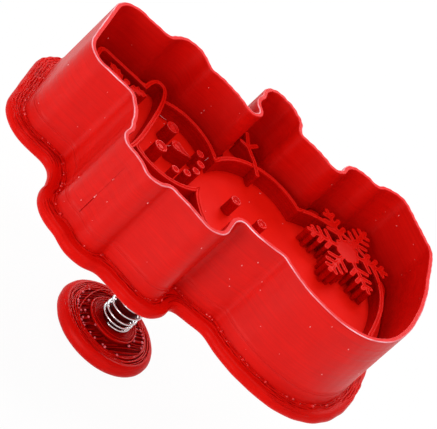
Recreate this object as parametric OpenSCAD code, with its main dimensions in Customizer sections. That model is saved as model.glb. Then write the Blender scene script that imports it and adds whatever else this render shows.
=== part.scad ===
// Plunger cookie cutter in the shape of a snowman with a top hat.
// It stands on its knob with the cutting edge up. +Y runs to the hat, +X to the snowflake,
// and the plunger slides along Z. The origin is the middle of the knob's flat face.

/* [Snowman figure] */
// Diameter of the head, along the middle of its raised line
head_d = 25.2; // [22:0.2:28]
// Distance from the plunger's axis up to the middle of the head
head_up = 20; // [18:0.5:22]
// Width of the torso
torso_w = 36.6; // [34:0.2:40]
// Length of the torso
torso_l = 31.5; // [29:0.5:34]
// Distance from the plunger's axis down to the middle of the torso
torso_down = 4.8; // [3:0.2:6]
// Width of the lower body
base_w = 42.8; // [40:0.2:46]
// Length of the lower body above its widest place
base_top_l = 20.5; // [18:0.5:23]
// Length of the lower body below its widest place
base_foot_l = 15.2; // [13:0.2:18]
// Distance from the plunger's axis down to the lower body's widest place
base_down = 26; // [24:0.5:28]
// Width of the hat's crown
crown_w = 20; // [17:0.2:22]
// Length of the crown, from the middle of the brim to its flat top
crown_l = 15.7; // [13:0.2:18]
// Rounding of the crown's two upper corners
crown_r = 1.5; // [1:0.1:2.6]
// Width of the hat's brim
brim_w = 30.8; // [28:0.2:33]
// Thickness of the brim
brim_t = 6; // [4.6:0.2:7]
// Distance from the plunger's axis up to the middle of the brim
brim_up = 29.4; // [28:0.2:31]

/* [Raised details] */
// Width of the raised lines
line_w = 1.1; // [0.8:0.1:1.6]
// Height of everything raised on the stamp
relief_h = 4; // [2:0.2:5]
// How far the face and the buttons sit to the right of the middle
face_shift = 0.5; // [0:0.1:1]
// Diameter of each eye
eye_d = 3.3; // [2.4:0.1:4]
// Distance between the eyes
eye_gap = 9.2; // [8:0.2:11]
// Height of the eyes above the middle of the head
eye_up = 1.8; // [1:0.2:2.6]
// Width of the carrot nose at its thick end
nose_w = 3; // [2.2:0.1:3.6]
// Length of the carrot nose
nose_l = 5.8; // [5:0.1:6.4]
// Diameter of each coal of the mouth
coal_d = 2.1; // [1.4:0.1:2.4]
// Distance of the coals from the middle of the head
mouth_r = 8.1; // [7.6:0.1:9]
// Number of coals in the mouth
coals = 5; // [3:1:5]
// Diameter of each button
button_d = 2.7; // [1.8:0.1:3.4]
// Distance between the buttons
button_pitch = 7.8; // [6:0.2:9]
// Length of each arm of the snowflake
flake_r = 12; // [10:0.5:13]
// Width of the snowflake's bars
flake_line_w = 1.2; // [0.8:0.1:1.3]
// Corner radius of the snowflake's solid middle
flake_hub_r = 3.7; // [3:0.1:4.5]

/* [Cutter] */
// How far the cutting edge stands outside the figure
outline_gap = 4; // [3.4:0.1:5]
// Rounding of the outline's inner corners
corner_fill = 1.4; // [0.8:0.1:2.5]
// Thickness of the cutting wall
wall_t = 1.1; // [0.8:0.1:1.6]
// Height of the cutter from its back to the cutting edge
cutter_h = 27.1; // [24:0.1:32]
// How far the flange stands outside the wall
flange_w = 3.65; // [2.5:0.05:5]
// Thickness of the flange
flange_t = 3; // [2:0.1:4]
// Rounding of the flange's inner corners
flange_fill = 3; // [2:0.5:4]
// Thickness of the back plate inside the wall
back_t = 6; // [5:0.2:8]

/* [Plunger] */
// Thickness of the stamp behind its raised figure
stamp_t = 5.7; // [5:0.1:7]
// Gap all round between the stamp and the wall
stamp_gap = 0.4; // [0.3:0.05:0.8]
// Gap between the stamp and the back plate at rest
stop_gap = 0.3; // [0.2:0.05:0.5]
// Diameter of the plunger's rod
rod_d = 6; // [5:0.1:6.2]
// Gap all round between the rod and its guide
guide_gap = 0.1; // [0.05:0.01:0.2]
// Gap all round between the rod and the sockets that it is glued into
glue_gap = 0.05; // [0.02:0.01:0.1]
// Depth of the rod's socket in the stamp
stamp_socket = 4; // [3:0.1:4.4]
// Depth of the rod's socket in the knob
knob_socket = 3.7; // [3:0.1:4.4]
// Diameter of the knob
knob_d = 26.2; // [23:0.2:30]
// Thickness of the knob at its round edge
knob_t = 4.1; // [3.4:0.1:4.8]
// Height of the knob up to the spring's seat
knob_h = 5.7; // [5.5:0.1:7]
// Diameter of the boss that carries the spring
boss_d = 12; // [10:0.2:14]
// Height of the boss above the knob's sloping face
boss_h = 0.8; // [0.4:0.1:1.2]

/* [Return spring] */
// Outer diameter of the spring
spring_d = 8.2; // [8:0.1:9]
// Diameter of the spring's wire
wire_d = 0.6; // [0.4:0.05:0.6]
// Length of the spring between its seats
spring_l = 30; // [28:0.5:34]
// Number of turns
spring_turns = 15; // [12:1:16]
// Pitch of the close turns at both ends
end_pitch = 1.05; // [1.02:0.01:1.2]
// Number of close turns at each end
end_turns = 1; // [1:0.5:2]
// Turns over which the pitch opens out
ramp_turns = 2; // [1:0.5:3]
// Depth of the spring's seat in the back plate
seat_depth = 1.5; // [1:0.1:2]
// Gap all round between the spring and its seat
seat_gap = 0.9; // [0.6:0.1:1.2]
// Gap between the spring's ends and their seats
spring_gap = 0.1; // [0.05:0.05:0.3]

/* [Hidden] */

print_red = [0.84, 0.06, 0.05];
wire_steel = [0.75, 0.76, 0.78];
round_fn = 48;
outline_fn = 24;
fill_fn = 16;
curve_step = 7.5;
spring_rings = 8;
wire_sides = 6;
edge_layers = 3;
cut_reach = 200;
cut_extra = 1;

// Heights, from the knob's flat face up
cutter_z = knob_h + spring_l + 2 * spring_gap - seat_depth;
stamp_z = cutter_z + back_t + stop_gap;
relief_z = stamp_z + stamp_t;
rod_z = knob_h - knob_socket;
rod_l = stamp_z + stamp_socket - rod_z;

// Places in the figure
half_line = line_w / 2;
torso_y = -torso_down;
base_y = -base_down;
neck_share = 0.58;
neck_y = torso_y + neck_share * (head_up - torso_y);
waist_share = 0.4;
waist_y = torso_y + waist_share * (base_y - torso_y);
brim_power = 2.6;
foot_power = 2.6;
eye_y = head_up + eye_up;
nose_up = 0.3;
nose_y = head_up + nose_up;
mouth_start = -55;
mouth_step = -24.4;
first_button_y = 0.9;
flake_inset = 4.1;
flake_drop = 1.4;
flake_place = [base_w / 2 - flake_inset, base_y - flake_drop];
flake_turn = -8.5;
flake_clear_r = 0.85 * flake_r;
foot_join = [8, base_y - base_foot_l];

// Twig arms, from the end inside the torso to the tips, measured from the torso's side
shoulder_up = 6.3;
shoulder = [torso_w / 2, torso_y + shoulder_up];
right_arm = [[-3.4, -1.8], [0.1, 0.4], [3, 3.3]];
right_tips = [[3, 5.4], [7.1, 5.2], [5.8, 1.8]];
left_arm = [[3.4, -1], [-1.2, 2.1], [-5.2, 4.2], [-11.3, 4.4], [-9.8, 12.5], [-9, 18.5]];
left_tips = [[-12.4, 20.2], [-9.6, 26.2], [-3.8, 26.4]];

// Where the cutting outline bulges past the right arm's fingers, measured like them
right_bulge = [7.4, 3.2];

// Holly sprig on the hat: its middle from the middle of the brim, and its leaves and berries from its middle
holly_place = [4.9, 6.7];
leaf_l = 4.9;
leaf_w = 3.2;
leaf_start = 1.3;
leaf_angles = [66, -66];
berry_r = 0.9;
berries = [[1.1, 0], [-0.9, 1.2], [-0.9, -1.2]];

// One side of a holly leaf, from its stalk to its tip, in shares of its length and its half width
leaf_edge = [[0.2, 0.8], [0.3, 0.5], [0.5, 1], [0.6, 0.5], [0.78, 0.7], [0.84, 0.3]];

// A closed smooth oval: a power of 2 is an ellipse, and a higher one is squarer
function oval_points(rx, top, foot, top_power, foot_power) = [
    for (a = [0 : curve_step : 360 - curve_step])
        let (n = a <= 180 ? top_power : foot_power)
            [rx * sign(cos(a)) * pow(abs(cos(a)), 2 / n),
             (a <= 180 ? top : foot) * sign(sin(a)) * pow(abs(sin(a)), 2 / n)]
];

// A holly leaf, from its stalk along one lobed side to its tip and back along the other
function leaf_points(l, w) =
    concat([[0, 0]],
           [for (i = [0 : len(leaf_edge) - 1]) [l * leaf_edge[i][0], -w / 2 * leaf_edge[i][1]]],
           [[l, 0]],
           [for (i = [len(leaf_edge) - 1 : -1 : 0]) [l * leaf_edge[i][0], w / 2 * leaf_edge[i][1]]]);

// The hat's crown from the middle of the brim up, grown by g on all sides
function crown_points(g) =
    let (x = crown_w / 2 + g, y = crown_l + g, r = crown_r + g)
        concat([[-x, 0], [x, 0]],
               [for (a = [0 : 15 : 90]) [x - r + r * cos(a), y - r + r * sin(a)]],
               [for (a = [90 : 15 : 180]) [r - x + r * cos(a), y - r + r * sin(a)]]);

// A straight bar from p to q with round ends
function bar_points(p, q, w) =
    let (turn = atan2(q[1] - p[1], q[0] - p[0]))
        concat([for (a = [-90 : 30 : 90]) q + w / 2 * [cos(turn + a), sin(turn + a)]],
               [for (a = [90 : 30 : 270]) p + w / 2 * [cos(turn + a), sin(turn + a)]]);

module bar(p, q, w) {
    polygon(bar_points(p, q, w));
}

module stroke(points, w) {
    for (i = [0 : len(points) - 2])
        bar(points[i], points[i + 1], w);
}

// The parts of the figure, each grown by g on all sides
module hat_shape(g) {
    half_t = brim_t / 2 + g;
    translate([0, brim_up])
        polygon(oval_points(brim_w / 2 + g, half_t, half_t, brim_power, brim_power));
    translate([0, brim_up])
        polygon(crown_points(g));
}

module head_shape(g) {
    translate([0, head_up])
        circle(d = head_d + 2 * g, $fn = round_fn);
}

module torso_shape(g) {
    translate([0, torso_y])
        polygon(oval_points(torso_w / 2 + g, torso_l / 2 + g, torso_l / 2 + g, 2, 2));
}

module base_shape(g) {
    translate([0, base_y])
        polygon(oval_points(base_w / 2 + g, base_top_l + g, base_foot_l + g, 2, foot_power));
}

module snow_shape(g) {
    head_shape(g);
    torso_shape(g);
    base_shape(g);
}

// A twig arm on one side of the torso: a bent stick with its fingers
module twig(side, arm, tips) {
    translate([side * shoulder[0], shoulder[1]]) {
        stroke(arm, line_w);
        for (tip = tips)
            bar(arm[len(arm) - 1], tip, line_w);
    }
}

module right_twig() {
    twig(1, right_arm, right_tips);
}

module left_twig() {
    twig(-1, left_arm, left_tips);
}

// Six branched arms round a solid six-sided middle
module flake_shape() {
    branch_at = [0.4, 0.6, 0.79];
    branch_l = [0.26, 0.22, 0.14];
    translate(flake_place)
        rotate(flake_turn) {
            rotate(30)
                circle(r = flake_hub_r, $fn = 6);
            for (arm = [0 : 5])
                rotate(60 * arm) {
                    bar([0, 0], [flake_r - flake_line_w / 2, 0], flake_line_w);
                    for (i = [0 : 2])
                        for (side = [-60, 60])
                            bar([flake_r * branch_at[i], 0],
                                flake_r * ([branch_at[i], 0] + branch_l[i] * [cos(side), sin(side)]),
                                flake_line_w);
                }
        }
}

// The end of one of the snowflake's arms, counted from the one that points to the right
function flake_tip(k) = flake_place + flake_r * [cos(flake_turn + 60 * k), sin(flake_turn + 60 * k)];

// The whole figure, with the narrow spaces that the cutting edge doesn't go into closed
module figure() {
    brim_corner = [-crown_w / 2, brim_up + brim_t / 2];
    hat_shape(half_line);
    snow_shape(half_line);
    right_twig();
    left_twig();
    flake_shape();
    translate(shoulder)
        polygon([right_arm[len(right_arm) - 1], right_tips[0], right_tips[1], right_bulge, right_tips[2]]);
    translate([-shoulder[0], shoulder[1]])
        polygon(concat([[shoulder[0], head_up - shoulder[1]]], left_arm, left_tips));
    polygon([[0, head_up], left_tips[2] + [-shoulder[0], shoulder[1]], brim_corner]);
    polygon([flake_place, flake_tip(0), flake_tip(-1), foot_join]);
}

// The cutting outline runs round the figure at a constant distance
module cutting_outline(g = 0) {
    offset(r = g, $fn = outline_fn)
        offset(r = -corner_fill, $fn = fill_fn)
            offset(r = outline_gap + corner_fill, $fn = outline_fn)
                figure();
}

module flange_outline(inset) {
    offset(r = -inset - flange_fill, $fn = fill_fn)
        offset(r = flange_w + flange_fill, $fn = outline_fn)
            cutting_outline();
}

// Everything of the figure between two heights of the drawing
module between(low, high) {
    intersection() {
        children();
        translate([-cut_reach / 2, low])
            square([cut_reach, high - low]);
    }
}

module raise() {
    color(print_red)
        translate([0, 0, relief_z])
            linear_extrude(relief_h)
                children();
}

// The line along the snowman's silhouette
module snow_ring() {
    difference() {
        snow_shape(half_line);
        snow_shape(-half_line);
    }
}

module flake_disc() {
    translate(flake_place)
        circle(r = flake_clear_r, $fn = round_fn);
}

// A raised stretch of that line, cut where other raised details cross it
module snow_line(low, high) {
    raise()
        between(low, high)
            difference() {
                snow_ring();
                hat_shape(half_line);
                right_twig();
                left_twig();
                flake_shape();
                flake_disc();
            }
}

// Back of the cutter: a thick plate inside the wall and a flange with a round edge outside it
module back_plate() {
    guide_d = rod_d + 2 * guide_gap;
    layer_h = flange_t / edge_layers;
    edge_r = flange_t / 2;
    color(print_red)
        translate([0, 0, cutter_z])
            difference() {
                union() {
                    for (i = [0 : edge_layers - 1]) {
                        rise = layer_h * (i + 0.5) - edge_r;
                        translate([0, 0, layer_h * i])
                            linear_extrude(layer_h)
                                flange_outline(edge_r - sqrt(edge_r * edge_r - rise * rise));
                    }
                    linear_extrude(back_t)
                        cutting_outline(-wall_t);
                }
                translate([0, 0, -cut_extra])
                    cylinder(d = guide_d, h = back_t + 2 * cut_extra, $fn = round_fn);
                translate([0, 0, -cut_extra])
                    cylinder(d = spring_d + 2 * seat_gap, h = seat_depth + cut_extra, $fn = round_fn);
            }
}

// Upright wall that stands on the flange and ends in the cutting edge
module cutter_wall() {
    color(print_red)
        translate([0, 0, cutter_z + flange_t])
            linear_extrude(cutter_h - flange_t)
                difference() {
                    cutting_outline();
                    cutting_outline(-wall_t);
                }
}

// Stamp that slides inside the wall, with the rod's socket in its back
module stamp_plate() {
    color(print_red)
        translate([0, 0, stamp_z])
            difference() {
                linear_extrude(stamp_t)
                    cutting_outline(-wall_t - stamp_gap);
                translate([0, 0, -cut_extra])
                    cylinder(d = rod_d + 2 * glue_gap, h = stamp_socket + cut_extra, $fn = round_fn);
            }
}

module hat_outline() {
    raise()
        difference() {
            hat_shape(half_line);
            hat_shape(-half_line);
        }
}

// Two lobed leaves with three berries between them
module hat_holly() {
    raise()
        translate([0, brim_up] + holly_place) {
            for (turn = leaf_angles)
                rotate(turn)
                    translate([leaf_start, 0])
                        polygon(leaf_points(leaf_l, leaf_w));
            for (place = berries)
                translate(place)
                    circle(r = berry_r, $fn = round_fn);
        }
}

module head_outline() {
    snow_line(neck_y, brim_up + brim_t);
}

module torso_outline() {
    snow_line(waist_y, neck_y);
}

module base_outline() {
    snow_line(base_y - base_foot_l - line_w, waist_y);
}

module eyes() {
    raise()
        for (side = [-1, 1])
            translate([face_shift + side * eye_gap / 2, eye_y])
                circle(d = eye_d, $fn = round_fn);
}

// A carrot: a round thick end that narrows to a point
module carrot_nose() {
    thick_r = nose_w / 2;
    reach = nose_l - thick_r;
    lean = acos(thick_r / reach);
    raise()
        translate([face_shift, nose_y - thick_r])
            polygon(concat([[0, -reach]],
                [for (a = [-90 + lean : 15 : 270 - lean]) thick_r * [cos(a), sin(a)]]));
}

module mouth_coals() {
    raise()
        translate([0, head_up])
            for (i = [0 : coals - 1])
                rotate(mouth_start + i * mouth_step)
                    translate([mouth_r, 0])
                        circle(d = coal_d, $fn = round_fn);
}

module buttons() {
    raise()
        for (i = [0, 1])
            translate([face_shift, first_button_y - i * button_pitch])
                circle(d = button_d, $fn = round_fn);
}

module right_twig_arm() {
    raise()
        right_twig();
}

module left_twig_arm() {
    raise()
        left_twig();
}

// The snowflake, with the stretch of the silhouette's line that runs through it
module snowflake() {
    raise() {
        flake_shape();
        intersection() {
            snow_ring();
            flake_disc();
        }
    }
}

// Round rod that joins the stamp to the knob, through the guide in the back plate
module plunger_rod() {
    color(print_red)
        translate([0, 0, rod_z])
            cylinder(d = rod_d, h = rod_l, $fn = round_fn);
}

// Path of the spring's wire: close turns at both ends, opening out smoothly between them
wire_l = spring_l - wire_d;
coil_r = (spring_d - wire_d) / 2;
coil_start = 165;
open_turns = spring_turns - 2 * end_turns - ramp_turns;
open_pitch = end_pitch + (wire_l - spring_turns * end_pitch) / open_turns;
ring_count = spring_turns * spring_rings;

// Turns run at open pitch by turn t, after the ramp that starts at turn from
function ramped(t, from) =
    t <= from ? 0 :
    t >= from + ramp_turns ? t - from - ramp_turns / 2 :
    (t - from) * (t - from) / (2 * ramp_turns);

function coil_z(t) = end_pitch * t + (open_pitch - end_pitch)
    * (ramped(t, end_turns) - ramped(t, spring_turns - end_turns - ramp_turns));

function coil_angle(t) = coil_start + 360 * t;

function coil_point(t) = [coil_r * cos(coil_angle(t)), coil_r * sin(coil_angle(t)), coil_z(t)];

// The two ends run straight on for one wire diameter
function wire_middle(i) =
    i < 0 ? coil_point(0) + wire_d * [sin(coil_angle(0)), -cos(coil_angle(0)), 0] :
    i > ring_count ? coil_point(spring_turns)
        + wire_d * [-sin(coil_angle(spring_turns)), cos(coil_angle(spring_turns)), 0] :
    coil_point(i / spring_rings);

function wire_ring(i) =
    let (middle = wire_middle(i), a = coil_angle(min(max(i, 0), ring_count) / spring_rings))
        [for (k = [0 : wire_sides - 1])
            let (b = 360 * k / wire_sides)
                middle + wire_d / 2 * [cos(b) * cos(a), cos(b) * sin(a), sin(b)]];

// Least gap between turns, from every ring to those about one turn further on
turn_gap = min([for (i = [0 : ring_count - spring_rings - 2])
    for (k = [spring_rings - 2 : spring_rings + 2])
        norm(wire_middle(i + k) - wire_middle(i)) - wire_d]);
echo(str("Least gap between the spring's turns: ", turn_gap, " mm"));

module return_spring() {
    first = -1;
    last = ring_count + 1;
    rings = last - first + 1;
    points = [for (i = [first : last]) each wire_ring(i)];
    sides = [for (i = [0 : rings - 2]) for (k = [0 : wire_sides - 1])
        let (a = i * wire_sides + k, b = i * wire_sides + (k + 1) % wire_sides)
            each [[a, a + wire_sides, b], [b, a + wire_sides, b + wire_sides]]];
    end_ring = (rings - 1) * wire_sides;
    caps = [for (k = [1 : wire_sides - 2])
        each [[0, k, k + 1], [end_ring, end_ring + k + 1, end_ring + k]]];
    color(wire_steel)
        translate([0, 0, knob_h + spring_gap + wire_d / 2])
            polyhedron(points = points, faces = concat(sides, caps), convexity = 10);
}

// Knob: a disc with a round edge that slopes up to the spring's boss
module knob() {
    edge_r = knob_t / 2;
    edge_x = knob_d / 2 - edge_r;
    color(print_red)
        difference() {
            rotate_extrude($fn = 2 * round_fn)
                polygon(concat([[0, 0]],
                    [for (a = [-90 : 15 : 90]) [edge_x + edge_r * cos(a), edge_r + edge_r * sin(a)]],
                    [[boss_d / 2, knob_h - boss_h], [boss_d / 2, knob_h], [0, knob_h]]));
            translate([0, 0, rod_z])
                cylinder(d = rod_d + 2 * glue_gap, h = knob_socket + cut_extra, $fn = round_fn);
        }
}

back_plate();
cutter_wall();
stamp_plate();
hat_outline();
hat_holly();
head_outline();
torso_outline();
base_outline();
eyes();
carrot_nose();
mouth_coals();
buttons();
right_twig_arm();
left_twig_arm();
snowflake();
plunger_rod();
return_spring();
knob();
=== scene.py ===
import math

import bmesh
import bpy
import numpy as np
from mathutils import Matrix, Vector


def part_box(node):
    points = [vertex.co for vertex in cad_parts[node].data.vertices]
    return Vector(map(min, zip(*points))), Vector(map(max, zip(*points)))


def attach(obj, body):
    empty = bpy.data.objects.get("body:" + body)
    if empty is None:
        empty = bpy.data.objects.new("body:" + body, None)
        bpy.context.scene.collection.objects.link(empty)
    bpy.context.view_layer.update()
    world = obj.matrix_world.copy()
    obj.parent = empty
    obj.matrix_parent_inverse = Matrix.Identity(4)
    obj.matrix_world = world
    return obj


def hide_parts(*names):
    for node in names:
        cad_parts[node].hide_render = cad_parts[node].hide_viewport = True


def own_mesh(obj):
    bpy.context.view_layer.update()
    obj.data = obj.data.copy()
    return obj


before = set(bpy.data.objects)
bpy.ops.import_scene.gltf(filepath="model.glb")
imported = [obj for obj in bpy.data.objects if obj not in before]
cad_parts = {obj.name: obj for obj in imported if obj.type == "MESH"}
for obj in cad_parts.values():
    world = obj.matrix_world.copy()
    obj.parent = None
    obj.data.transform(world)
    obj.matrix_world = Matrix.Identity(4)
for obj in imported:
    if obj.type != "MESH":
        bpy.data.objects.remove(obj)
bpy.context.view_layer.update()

MM = 0.001
TINY = 1e-12
rng = np.random.default_rng(11)


# Outlines

# Ends of cut edges that agree to a tenth of a micrometre are one place.
PLACES_PER_M = 1e7
# A line that is laid out anew has at least so many points.
FEWEST = 8


def slice_loops(name, z):
    """Closed outlines of a CAD node at height z, in metres, the largest first, each turning left."""
    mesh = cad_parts[name].data
    mesh.calc_loop_triangles()
    co = np.empty(len(mesh.vertices) * 3)
    mesh.vertices.foreach_get("co", co)
    co = co.reshape(-1, 3)
    tri = np.empty(len(mesh.loop_triangles) * 3, dtype=np.int32)
    mesh.loop_triangles.foreach_get("vertices", tri)
    corners = co[tri.reshape(-1, 3)]
    above = corners[:, :, 2] > z
    crossing = corners[above.any(axis=1) & ~above.all(axis=1)]
    links = {}
    places = {}
    for p in crossing:
        ends = []
        for a, b in ((0, 1), (1, 2), (2, 0)):
            if (p[a, 2] > z) != (p[b, 2] > z):
                share = (z - p[a, 2]) / (p[b, 2] - p[a, 2])
                q = p[a, :2] + share * (p[b, :2] - p[a, :2])
                key = (round(q[0] * PLACES_PER_M), round(q[1] * PLACES_PER_M))
                places[key] = q
                ends.append(key)
        if len(ends) == 2 and ends[0] != ends[1]:
            links.setdefault(ends[0], []).append(ends[1])
            links.setdefault(ends[1], []).append(ends[0])
    loops = []
    free = set(links)
    while free:
        start = min(free)
        chain = [start]
        free.discard(start)
        while True:
            following = [k for k in links[chain[-1]] if k in free]
            if not following:
                break
            chain.append(following[0])
            free.discard(following[0])
        if len(chain) > 3:
            loop = np.array([places[k] for k in chain])
            if area(loop) < 0:
                loop = loop[::-1]
            loops.append(loop)
    return sorted(loops, key=area, reverse=True)


def area(loop):
    """Area inside a loop, above zero where it turns left."""
    x, y = loop[:, 0], loop[:, 1]
    return 0.5 * float(np.sum(x * np.roll(y, -1) - np.roll(x, -1) * y))


def length_of(loop):
    """Length of a closed line."""
    return float(np.linalg.norm(np.roll(loop, -1, axis=0) - loop, axis=1).sum())


def contains(loop, p):
    """1 where the point lies inside the loop, else 0."""
    x, y = loop[:, 0], loop[:, 1]
    x2, y2 = np.roll(x, -1), np.roll(y, -1)
    cross = (y > p[1]) != (y2 > p[1])
    at = x + (p[1] - y) * (x2 - x) / np.where(cross, y2 - y, 1)
    return int(np.sum(cross & (p[0] < at)) % 2)


def smoothed(values):
    """Values along a closed line, each averaged a little with its two neighbours."""
    return 0.25 * np.roll(values, 1, axis=0) + 0.5 * values + 0.25 * np.roll(values, -1, axis=0)


def resample(loop, step, passes):
    """The loop at even steps, smoothed a little in each pass."""
    closed = np.vstack([loop, loop[:1]])
    s = np.concatenate([[0], np.cumsum(np.linalg.norm(np.diff(closed, axis=0), axis=1))])
    t = np.linspace(0, s[-1], max(FEWEST, round(s[-1] / step)), endpoint=False)
    out = np.column_stack([np.interp(t, s, closed[:, k]) for k in (0, 1)])
    for _ in range(passes):
        out = smoothed(out)
    return out


def unit(vectors):
    """The vectors at length 1."""
    return vectors / np.maximum(np.linalg.norm(vectors, axis=1, keepdims=True), TINY)


def outward(loop):
    """Unit normals that point out of a loop that turns left."""
    t = unit(np.roll(loop, -1, axis=0) - np.roll(loop, 1, axis=0))
    return np.column_stack([t[:, 1], -t[:, 0]])


def at_height(loop, z):
    """The loop's points with a height, one for all or one each."""
    return np.column_stack([loop, np.broadcast_to(z, len(loop))])


def ripple(n, lengths, total):
    """Smooth noise of about unit size along a closed line of n points; lengths are its waves, in mm."""
    t = np.arange(n) / n
    out = np.zeros(n)
    for wave in lengths:
        waves = max(1, round(total / (wave * MM)))
        for k in (waves, waves + 1, max(1, waves - 1)):
            out += np.sin(2 * math.pi * (k * t + rng.random())) * 0.5
    return out / math.sqrt(len(lengths))


# Meshes

# Faces that meet at more than SHARP keep a sharp corner. A face is level where its normal's height is over
# LEVEL, and upright where it is under UPRIGHT.
SHARP = math.radians(40)
LEVEL = 0.99
UPRIGHT = 0.3


def add_object(name, mesh, body, material):
    """A smooth object of a new mesh that rides on a body, with the given material as its finish."""
    obj = bpy.data.objects.new(name, mesh)
    bpy.context.scene.collection.objects.link(obj)
    mesh.materials.append(material)
    mesh.shade_smooth()
    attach(obj, body)
    return obj


def add_mesh(name, verts, faces, body, material, slot="red_plastic"):
    """One piece from vertices and faces."""
    mesh = bpy.data.meshes.new(name)
    mesh.from_pydata([tuple(v) for v in verts], [], faces)
    mesh.validate()
    return add_object(name, mesh, body, material)


def gather(name, parts, body, material):
    """One piece from several sets of vertices and faces."""
    verts, faces, base = [], [], 0
    for v, f in parts:
        verts.append(v)
        faces += [tuple(i + base for i in face) for face in f]
        base += len(v)
    return add_mesh(name, np.vstack(verts), faces, body, material)


def finish_bmesh(bm, name, body, material):
    """One piece from a bmesh, with its clear corners kept sharp."""
    mesh = bpy.data.meshes.new(name)
    bm.to_mesh(mesh)
    bm.free()
    obj = add_object(name, mesh, body, material)
    mesh.set_sharp_from_angle(angle=SHARP)
    return obj


def loft(rings, wrap=False):
    """Faces that join rings of equal length one to the next, and with wrap the last to the first."""
    n = len(rings[0])
    faces = []
    for r in range(len(rings) if wrap else len(rings) - 1):
        a, b = r * n, (r + 1) % len(rings) * n
        for i in range(n):
            j = (i + 1) % n
            faces.append((a + i, a + j, b + j, b + i))
    return faces


def ring_verts(bm, points):
    """New vertices of a bmesh at the points."""
    return [bm.verts.new(tuple(p)) for p in points]


def join_rings(bm, a, b):
    """Faces of a bmesh between two rings of vertices."""
    n = len(a)
    for i in range(n):
        bm.faces.new((a[i], a[(i + 1) % n], b[(i + 1) % n], b[i]))


def fill(bm, rings, up):
    """Flat face inside the first ring of vertices, round the others, that looks up or else down."""
    edges = []
    for verts in rings:
        for i in range(len(verts)):
            pair = (verts[i], verts[(i + 1) % len(verts)])
            edges.append(bm.edges.get(pair) or bm.edges.new(pair))
    for f in bmesh.ops.triangle_fill(bm, edges=edges, use_beauty=True)["geom"]:
        if isinstance(f, bmesh.types.BMFace):
            f.normal_update()
            if (f.normal.z > 0) != up:
                f.normal_flip()


def turn_rays(turns):
    """Level unit vectors all round the rod's axis."""
    angle = np.linspace(0, 2 * math.pi, turns, endpoint=False)
    return np.column_stack([np.cos(angle), np.sin(angle)])


def bead(line, z, radius, wobble, sides=8, waves=(7, 17)):
    """Vertices and faces of an uneven round string of plastic that lies along a closed line."""
    n = len(line)
    total = length_of(line)
    normal = outward(line)
    side = ripple(n, waves, total) * wobble * MM
    rise = ripple(n, (5, 13), total) * 0.03 * MM
    size = radius * (1 + 0.12 * ripple(n, (3, 9), total))
    rings = []
    for k in range(sides):
        a = 2 * math.pi * k / sides
        shift = side + size * math.cos(a)
        rings.append(at_height(line + normal * shift[:, None], z + rise + size * math.sin(a)))
    return np.vstack(rings), loft(rings, wrap=True)


def sweep(path, across, up, radius, sides):
    """Vertices and faces of a round string along an open path, closed at both ends.

    across and up are the two directions of its section; across, up and the way back along the path turn
    right-handed, so that the faces look outward.
    """
    verts = []
    for p, x, y, r in zip(path, across, up, radius):
        for k in range(sides):
            b = 2 * math.pi * k / sides
            verts.append(p + r * (math.cos(b) * x + math.sin(b) * y))
    faces = []
    for i in range(len(path) - 1):
        a = i * sides
        for k in range(sides):
            j = (k + 1) % sides
            faces.append((a + j, a + k, a + sides + k, a + sides + j))
    last = (len(path) - 1) * sides
    faces.append(tuple(range(sides)))
    faces.append(tuple(last + k for k in reversed(range(sides))))
    return np.array(verts), faces


def tube(path, radius, sides=6):
    """Vertices and faces of a round string of plastic along an open path that isn't upright."""
    ahead = unit(np.gradient(path, axis=0))
    across = unit(np.cross(ahead, (0, 0, 1.0)))
    return sweep(path, across, np.cross(across, ahead), np.broadcast_to(radius, len(path)), sides)


def ball(place, size, sides=8, rows=5):
    """Vertices and faces of a small rounded blob with the given half sizes."""
    place, size = np.array(place), np.array(size)
    verts = [place + np.array((0, 0, size[2]))]
    for i in range(1, rows):
        a = math.pi * i / rows
        for k in range(sides):
            b = 2 * math.pi * k / sides
            verts.append(place + size * (math.sin(a) * math.cos(b), math.sin(a) * math.sin(b), math.cos(a)))
    verts.append(place - np.array((0, 0, size[2])))
    turn = [(k, (k + 1) % sides) for k in range(sides)]
    faces = [(0, 1 + k, 1 + j) for k, j in turn]
    for i in range(rows - 2):
        a = 1 + i * sides
        faces += [(a + k, a + sides + k, a + sides + j, a + j) for k, j in turn]
    a = 1 + (rows - 2) * sides
    faces += [(a + k, len(verts) - 1, a + j) for k, j in turn]
    return np.array(verts), faces


# Materials

# Length of one band of the Wave texture at scale 1, and heights of the bumps in metres.
BAND_LENGTH = 0.314
LAYER_HEIGHT = 0.00005
GRAIN_HEIGHT = 0.00008
SCRATCH_HEIGHT = 0.00001


def new_material(name):
    """A material with one shader, with its tree and that shader."""
    material = bpy.data.materials.new(name)
    material.use_nodes = True
    tree = material.node_tree
    tree.nodes.clear()
    out = tree.nodes.new("ShaderNodeOutputMaterial")
    shader = tree.nodes.new("ShaderNodeBsdfPrincipled")
    tree.links.new(shader.outputs["BSDF"], out.inputs["Surface"])
    return material, tree, shader


def node(tree, kind, inputs=None, **settings):
    """A new node, whose inputs are values or the sockets that feed them."""
    made = tree.nodes.new(kind)
    for key, value in settings.items():
        setattr(made, key, value)
    for key, value in (inputs or {}).items():
        if isinstance(value, bpy.types.NodeSocket):
            tree.links.new(value, made.inputs[key])
        else:
            made.inputs[key].default_value = value
    return made


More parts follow.
